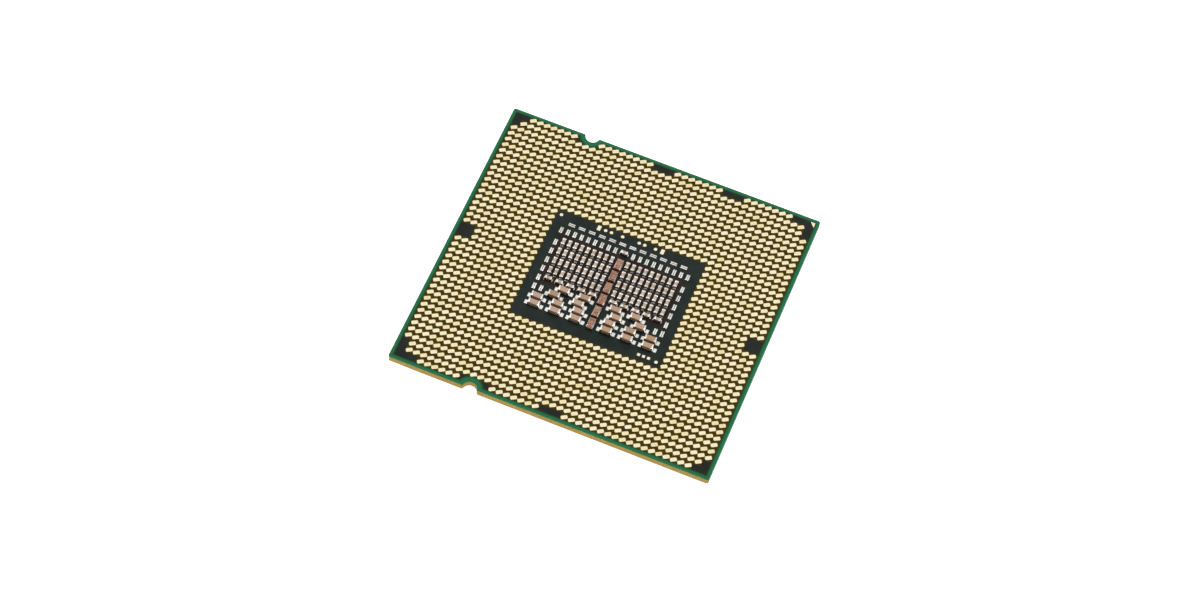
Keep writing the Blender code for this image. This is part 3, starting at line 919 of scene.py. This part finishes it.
for bar_centre in TEST_BARS:
    add_mark(bar_centre, *TEST_BAR_SIZE, MARK_CORNER, MARK_CORNER_STEPS)
for dot_centre in [(dot_x, TEST_DOT_Y) for dot_x in TEST_DOTS] + list(FIDUCIALS):
    add_mark(dot_centre, DOT_DIAMETER, DOT_DIAMETER, DOT_DIAMETER / 2 - 0.001, DOT_STEPS)
for square_centre in PLAIN_SQUARES:
    add_mark(square_centre, PLAIN_SQUARE_SIZE, PLAIN_SQUARE_SIZE, MARK_CORNER, MARK_CORNER_STEPS)
gold_marks = to_object("gold_marks", marks_shape, 20.0)
gold = gold_plate_finish("gold_mark_plate", False)
paint(gold_marks, gold)
install(gold_marks, "gold_plate")

corner_shape = bmesh.new()
corner_x, corner_y = MARKER_CORNER
leg_x, leg_y = MARKER_LEGS
triangle = [(corner_x, corner_y), (corner_x - leg_x, corner_y), (corner_x, corner_y - leg_y)]
inner_triangle = [
    (corner_x - 0.015, corner_y - 0.015), (corner_x - leg_x + 0.05, corner_y - 0.015),
    (corner_x - 0.015, corner_y - leg_y + 0.05),
]
add_pad(corner_shape, triangle, inner_triangle, mask_top / MM, MARK_HEIGHT)
marker = to_object("pin_one_triangle", corner_shape, 20.0)
paint(marker, gold)
install(marker, "gold_plate", "pin_one_marker")


# ---------------------------------------------------------------------------------------
# Bare footprints: pairs of narrow tinned bars for capacitors that this model leaves off.
# The solder on them is a thin, nearly flat film.

BAR_LENGTH = 0.92
BAR_WIDTH = 0.185
BAR_GAP = 0.07
BAR_HEIGHT = 0.02
TOP_ROW_COUNT = 12
TOP_ROW_PITCH = 1.474
TOP_ROW_Y = 6.99
SECOND_ROW_COUNT = 9
SECOND_ROW_FIRST_X = 1.29
SECOND_ROW_PITCH = 0.981
SECOND_ROW_Y = 5.735
SIDE_COLUMN_X = 9.15
SIDE_COLUMN_Y = (0.735, 2.22, 3.69)
INNER_PAIR = (8.17, -3.69)
TIN = "E8E4DE"
TIN_DULL = "D0CBC3"
RIPPLE_SIZE = 0.18


def tin_finish():
    """Reflowed tin-silver solder: bright and slightly warm, frozen with soft ripples."""
    material, tree, shader, here = new_finish("reflowed_tin", 0.3, 1.0)
    ripples = add_node(tree, "TexNoise", {"Vector": here, "Scale": per_metre(RIPPLE_SIZE), "Detail": 3.0})
    tint = add_node(tree, "Attribute", output="Fac", attribute_name="tint")
    duller = add_node(tree, "MapRange", (tint, 0.3, 1.0, 0.0, 0.8))
    tone = add_node(tree, "Mix", (duller, TIN, TIN_DULL), data_type="RGBA")
    rough = add_node(tree, "MapRange", (ripples, 0.3, 0.7, 0.18, 0.34))
    dress(tree, shader, tone, rough, ripples, 0.005)
    return material


tin = tin_finish()
pair_shape = bmesh.new()
for side in (-1, 1):
    bar_y = side * (BAR_WIDTH + BAR_GAP) / 2
    bar = [(x, y + bar_y) for x, y in rounded_rectangle(BAR_LENGTH, BAR_WIDTH, 0.05, 3)]
    crest = [(x, y + bar_y) for x, y in rounded_rectangle(BAR_LENGTH - 0.04, BAR_WIDTH - 0.04, 0.03, 3)]
    add_pad(pair_shape, bar, crest, 0.0, BAR_HEIGHT)
pair = to_object("bar_pair", pair_shape, 20.0)
flat_sites = [
    ((index - (TOP_ROW_COUNT - 1) / 2) * TOP_ROW_PITCH, TOP_ROW_Y, mark_top) for index in range(TOP_ROW_COUNT)
]
upright_sites = []
for side in (-1, 1):
    for index in range(SECOND_ROW_COUNT):
        upright_sites.append((side * (SECOND_ROW_FIRST_X + SECOND_ROW_PITCH * index), SECOND_ROW_Y, mark_top))
    for level in SIDE_COLUMN_Y:
        upright_sites += [(side * SIDE_COLUMN_X, level, mark_top), (side * SIDE_COLUMN_X, -level, mark_top)]
    upright_sites.append((side * INNER_PAIR[0], INNER_PAIR[1], mark_top))
install(make_copies("bare_footprints_flat", pair, flat_sites, tin, 0.0, 0.0, 3), "tinned_metal")
install(make_copies("bare_footprints_upright", pair, upright_sites, tin, 90.0, 0.0, 4), "tinned_metal")
bpy.data.objects.remove(pair)


# ---------------------------------------------------------------------------------------
# Capacitors: fired stacks of ceramic and metal films, tumbled so that their edges are round,
# dipped at both ends in silver paste and tinned. Each stands on two solder joints that
# climb its ends. The ceramic is matt tan, and varies from part to part like brick.

BULK = {"length": 1.6, "width": 0.8, "height": 0.8, "band": 0.22, "reach": 1.32, "joint": 0.6, "toe": 0.9}
WIDE = {"length": 0.84, "width": 1.65, "height": 0.5, "band": 0.03, "reach": 0.45, "joint": 1.3, "toe": 0.44}
SMALL = {"length": 1.0, "width": 0.5, "height": 0.5, "band": 0.26, "reach": 0.63, "joint": 0.44, "toe": 0.6}
BODY_SHRINK = 0.03
BODY_LIFT = 0.035
FILLET_STEPS = 5
BULK_FIRST_X = 2.2
BULK_PITCH_X = 2.95
BULK_STAGGERED_X = (2.7, 6.13)
BULK_FIRST_Y = -3.02
BULK_PITCH_Y = 1.12
WIDE_COUNT = 6
WIDE_FIRST_Y = 3.67
WIDE_PITCH_Y = 1.96
BANK_ROWS = 4
BANK_SIZE = 9
BANK_FIRST_X = 1.11
BANK_PITCH_X = 0.872
BANK_FIRST_Y = 3.97
BANK_PITCH_Y = 1.587
LOWER_COUNT = 5
LOWER_FIRST_X = 1.49
LOWER_PITCH_X = 1.583
LOWER_Y = -2.0
CENTRE_SMALL_Y = 5.68
TAN_CERAMIC = ("D0AC8E", "B8966E", "DAB8A4")
PALE_CERAMIC = ("D9C6AE", "C6AE90", "E2D0C6")
BROWN_CERAMIC = ("B47C5C", "8C5636", "DCB094")


def ceramic_finish(name, tones, grain, contrast):
    """Fired barium titanate: matt and dense, with a fine dark speckle and a part-to-part tone."""
    material, tree, shader, here = new_finish(name, 0.5)
    tint = add_node(tree, "Attribute", output="Fac", attribute_name="tint")
    speckle = add_node(
        tree, "TexNoise", {"Vector": here, "Scale": per_metre(grain), "Detail": 3.0, "Roughness": 0.7}
    )
    tone, dark, pale = tones
    for pattern, start, end, most, colour in (
        (tint, 0.5, 1.0, 1.0, dark), (tint, 0.5, 0.0, 1.0, pale),
        (speckle, 0.5, 0.62, contrast, dark), (speckle, 0.48, 0.36, contrast, pale),
    ):
        share = add_node(tree, "MapRange", (pattern, start, end, 0.0, most))
        tone = add_node(tree, "Mix", (share, tone, colour), data_type="RGBA")
    rough = add_node(tree, "MapRange", (speckle, 0.3, 0.7, 0.42, 0.62))
    dress(tree, shader, tone, rough, speckle, 0.006)
    return material


def add_tumbled_block(shape, centre, size, radius):
    """A block with rounded edges, all in millimetres."""
    place = Matrix.Translation(Vector(centre) * MM)
    stretch = Matrix.Diagonal((*(Vector(size) * MM), 1.0))
    made = bmesh.ops.create_cube(shape, size=1.0, matrix=place @ stretch)
    edges = {edge for vert in made["verts"] for edge in vert.link_edges}
    bmesh.ops.bevel(
        shape, geom=list(edges), offset=radius * MM, segments=2, profile=0.5, affect="EDGES"
    )


def capacitor_body(part):
    shape = bmesh.new()
    size = (
        part["length"] - 2 * BODY_SHRINK, part["width"] - 2 * BODY_SHRINK, part["height"] - 2 * BODY_SHRINK
    )
    centre = (0.0, 0.0, BODY_LIFT + part["height"] / 2 - BODY_SHRINK)
    add_tumbled_block(shape, centre, size, 0.05)
    return to_object("body_shape", shape, 20.0)


def capacitor_ends(part):
    """The two tinned caps, a shade larger than the ceramic and more rounded."""
    shape = bmesh.new()
    for side in (-1, 1):
        centre = (side * (part["length"] - part["band"]) / 2, 0.0, part["height"] / 2)
        size = (part["band"], part["width"], part["height"])
        add_tumbled_block(shape, centre, size, min(0.05, part["band"] * 0.35))
    return to_object("end_shape", shape, 20.0)


def capacitor_joints(part):
    """Two solder joints: a concave fillet down each end, running out over the pad."""
    shape = bmesh.new()
    start = part["length"] / 2 - part["band"]
    face = part["length"] / 2 - 0.02
    half = part["joint"] / 2
    climb = part["height"] * 0.5
    for side in (-1, 1):
        stations = [(start, 0.05), (face, climb)]
        for step in range(1, FILLET_STEPS + 1):
            share = step / FILLET_STEPS
            stations.append((face + (part["toe"] - face) * share, 0.04 + (climb - 0.04) * (1 - share) ** 3))
        stations += [(part["reach"] - 0.04, 0.035), (part["reach"], 0.008)]
        rings = []
        for x, height in stations:
            pinch = 0.04 if x >= part["reach"] - 0.001 else 0.0
            crown = [
                (half - pinch, 0.0), (half - pinch - 0.012, height * 0.8), (half - pinch - 0.05, height),
                (-half + pinch + 0.05, height), (-half + pinch + 0.012, height * 0.8), (-half + pinch, 0.0),
            ]
            rings.append([shape.verts.new(Vector((side * x, y, z)) * MM) for y, z in crown])
        loft(shape, rings)
    return to_object("joint_shape", shape, 30.0)


def fit_capacitors(name, part, sites, turn, ceramic, slot, nodes, seed):
    """Bodies, ends and joints of one kind of capacitor at all its places."""
    makers = (
        ("bodies", capacitor_body, ceramic, slot), ("ends", capacitor_ends, tin, "tinned_metal"),
        ("joints", capacitor_joints, tin, "tinned_metal"),
    )
    for suffix, maker, finish, piece_slot in makers:
        shape = maker(part)
        wobble = 0.0 if suffix == "joints" else 1.2
        piece = make_copies(f"{name}_{suffix}", shape, sites, finish, turn, wobble, seed)
        bpy.data.objects.remove(shape)
        install(piece, piece_slot, *nodes)


tan_ceramic = ceramic_finish("tan_capacitor_ceramic", TAN_CERAMIC, 0.06, 0.5)
pale_ceramic = ceramic_finish("pale_capacitor_ceramic", PALE_CERAMIC, 0.06, 0.5)
brown_ceramic = ceramic_finish("brown_capacitor_ceramic", BROWN_CERAMIC, 0.2, 1.0)

bulk_columns = [BULK_FIRST_X + BULK_PITCH_X * column for column in range(3)]
bulk_sites = []
for bulk_row, columns in enumerate((bulk_columns[:2], BULK_STAGGERED_X, bulk_columns, bulk_columns)):
    for column_x in columns:
        level = BULK_FIRST_Y - BULK_PITCH_Y * bulk_row
        bulk_sites += [(-column_x, level, mark_top), (column_x, level, mark_top)]
bulk_nodes = [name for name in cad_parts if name.startswith("bulk_capacitor")]
fit_capacitors("bulk_capacitors", BULK, bulk_sites, 0.0, tan_ceramic, "tan_ceramic", bulk_nodes, 21)

wide_sites = [(0.0, WIDE_FIRST_Y - WIDE_PITCH_Y * number, mark_top) for number in range(WIDE_COUNT)]
wide_nodes = [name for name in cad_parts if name.startswith("wide_capacitor")]
fit_capacitors("wide_capacitors", WIDE, wide_sites, 0.0, brown_ceramic, "brown_ceramic", wide_nodes, 22)

bank_sites = []
lower_sites = [(0.0, CENTRE_SMALL_Y, mark_top)]
for side in (-1, 1):
    for bank_row in range(BANK_ROWS):
        for column in range(BANK_SIZE):
            bank_x = side * (BANK_FIRST_X + BANK_PITCH_X * column)
            bank_sites.append((bank_x, BANK_FIRST_Y - BANK_PITCH_Y * bank_row, mark_top))
    for column in range(LOWER_COUNT):
        lower_sites.append((side * (LOWER_FIRST_X + LOWER_PITCH_X * column), LOWER_Y, mark_top))
bank_nodes = [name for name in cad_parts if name.startswith("capacitor_bank")]
small_nodes = [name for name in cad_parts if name.startswith("small_capacitor")]
fit_capacitors("bank_capacitors", SMALL, bank_sites, 90.0, pale_ceramic, "tan_ceramic", bank_nodes, 23)
fit_capacitors("small_capacitors", SMALL, lower_sites, 0.0, pale_ceramic, "tan_ceramic", small_nodes, 24)


# ---------------------------------------------------------------------------------------
# Studio: a white light table, a great soft light high behind the package that the lands
# mirror, a dark room round it that is pale along the horizon, and a small lamp on each side.

FLOOR_RADIUS = 1.6
FLOOR_WHITE = "F4F3F0"
FLOOR_SHADE = "EDECE8"
TABLE_GLOW = 1.1
CANOPY_LEVEL = 1.08
ROOM_LEVEL = 0.03
HORIZON_LEVEL = 0.4
CANOPY_FADE = (0.6, 0.9)
HORIZON_FADE = (0.28, 0.42)
LAMP_SIZE = 0.15
LAMP_DISTANCE = 0.5
LAMP_ELEVATION = 58.0
LAMP_RADIANCE = 7.0
LAMP_TURNS = {"left_lamp": 255, "right_lamp": 105}
CANOPY_ELEVATION = 53.0
CAMERA_TARGET = Vector((-0.295, -2.208, 4.24)) * MM
CAMERA_DISTANCE = 0.385
CAMERA_AZIMUTH = 16.45
CAMERA_ELEVATION = 60.04
CAMERA_ROLL = 6.49
CAMERA_LENS = 87.1
CAMERA_SENSOR = 36.0


def direction(azimuth, elevation):
    """A unit vector towards an azimuth, 0 at -Y and turning to +X, and an elevation, in degrees."""
    a, e = math.radians(azimuth), math.radians(elevation)
    return Vector((math.sin(a) * math.cos(e), -math.cos(a) * math.cos(e), math.sin(e)))


def light_table_finish():
    """Opal acrylic lit from below: matt, white and shadowless, with the faintest unevenness."""
    material, tree, shader, here = new_finish("lit_opal_acrylic", 0.8, Emission_Strength=TABLE_GLOW)
    cloud = add_node(tree, "TexNoise", {"Vector": here, "Scale": per_metre(120.0), "Detail": 2.0})
    tone = add_node(tree, "Mix", (cloud, FLOOR_WHITE, FLOOR_SHADE), data_type="RGBA")
    for name in ("Base Color", "Emission Color"):
        tree.links.new(tone, shader.inputs[name])
    return material


def add_canopy():
    """A surround that is bright high behind the package, pale along the horizon and dark
    in between."""
    world = bpy.data.worlds.new("studio_canopy")
    world.use_nodes = True
    tree = world.node_tree
    here = add_node(tree, "TexCoord", output="Generated")
    middle = direction(CAMERA_AZIMUTH + 180, CANOPY_ELEVATION)
    facing = add_node(tree, "VectorMath", (here, middle), "Value", operation="DOT_PRODUCT")
    height = add_node(tree, "SeparateXYZ", (here,), "Z")
    canopy = add_node(tree, "MapRange", (facing, *CANOPY_FADE, ROOM_LEVEL, CANOPY_LEVEL))
    horizon = add_node(tree, "MapRange", (height, *HORIZON_FADE, HORIZON_LEVEL, 0.0))
    strength = add_node(tree, "Math", (canopy, horizon), operation="MAXIMUM")
    backdrop = tree.nodes["Background"]
    backdrop.inputs["Color"].default_value = (1.0, 1.0, 1.0, 1.0)
    tree.links.new(strength, backdrop.inputs["Strength"])
    bpy.context.scene.world = world


def add_soft_box(name, azimuth, elevation, distance, size, radiance):
    """A square area light of a given surface brightness that faces the package."""
    lamp = bpy.data.lights.new(name, "AREA")
    lamp.size = size
    lamp.energy = radiance * math.pi * size * size
    box = add_object(name, lamp)
    toward = direction(azimuth, elevation)
    box.location = toward * distance
    box.rotation_mode = "QUATERNION"
    box.rotation_quaternion = toward.to_track_quat("Z", "Y")


def add_camera():
    """The main camera: a long lens above and to the right of the near edge, rolled a little."""
    lens = bpy.data.cameras.new("main_camera")
    lens.lens = CAMERA_LENS
    lens.sensor_width = CAMERA_SENSOR
    lens.clip_start = 0.01
    lens.clip_end = 10.0
    camera = add_object("main_camera", lens)
    toward = direction(CAMERA_AZIMUTH, CAMERA_ELEVATION)
    camera.location = CAMERA_TARGET + toward * CAMERA_DISTANCE
    level = toward.to_track_quat("Z", "Y")
    roll = Matrix.Rotation(math.radians(CAMERA_ROLL), 4, "Z").to_quaternion()
    camera.rotation_mode = "QUATERNION"
    camera.rotation_quaternion = level @ roll
    bpy.context.scene.camera = camera


floor_shape = bmesh.new()
bmesh.ops.create_circle(floor_shape, cap_ends=True, segments=64, radius=FLOOR_RADIUS)
floor = to_object("studio_floor", floor_shape)
paint(floor, light_table_finish())

add_canopy()
for lamp_name, turn in LAMP_TURNS.items():
    add_soft_box(lamp_name, CAMERA_AZIMUTH + turn, LAMP_ELEVATION, LAMP_DISTANCE, LAMP_SIZE, LAMP_RADIANCE)
add_camera()
bpy.context.scene.view_settings.view_transform = "Standard"
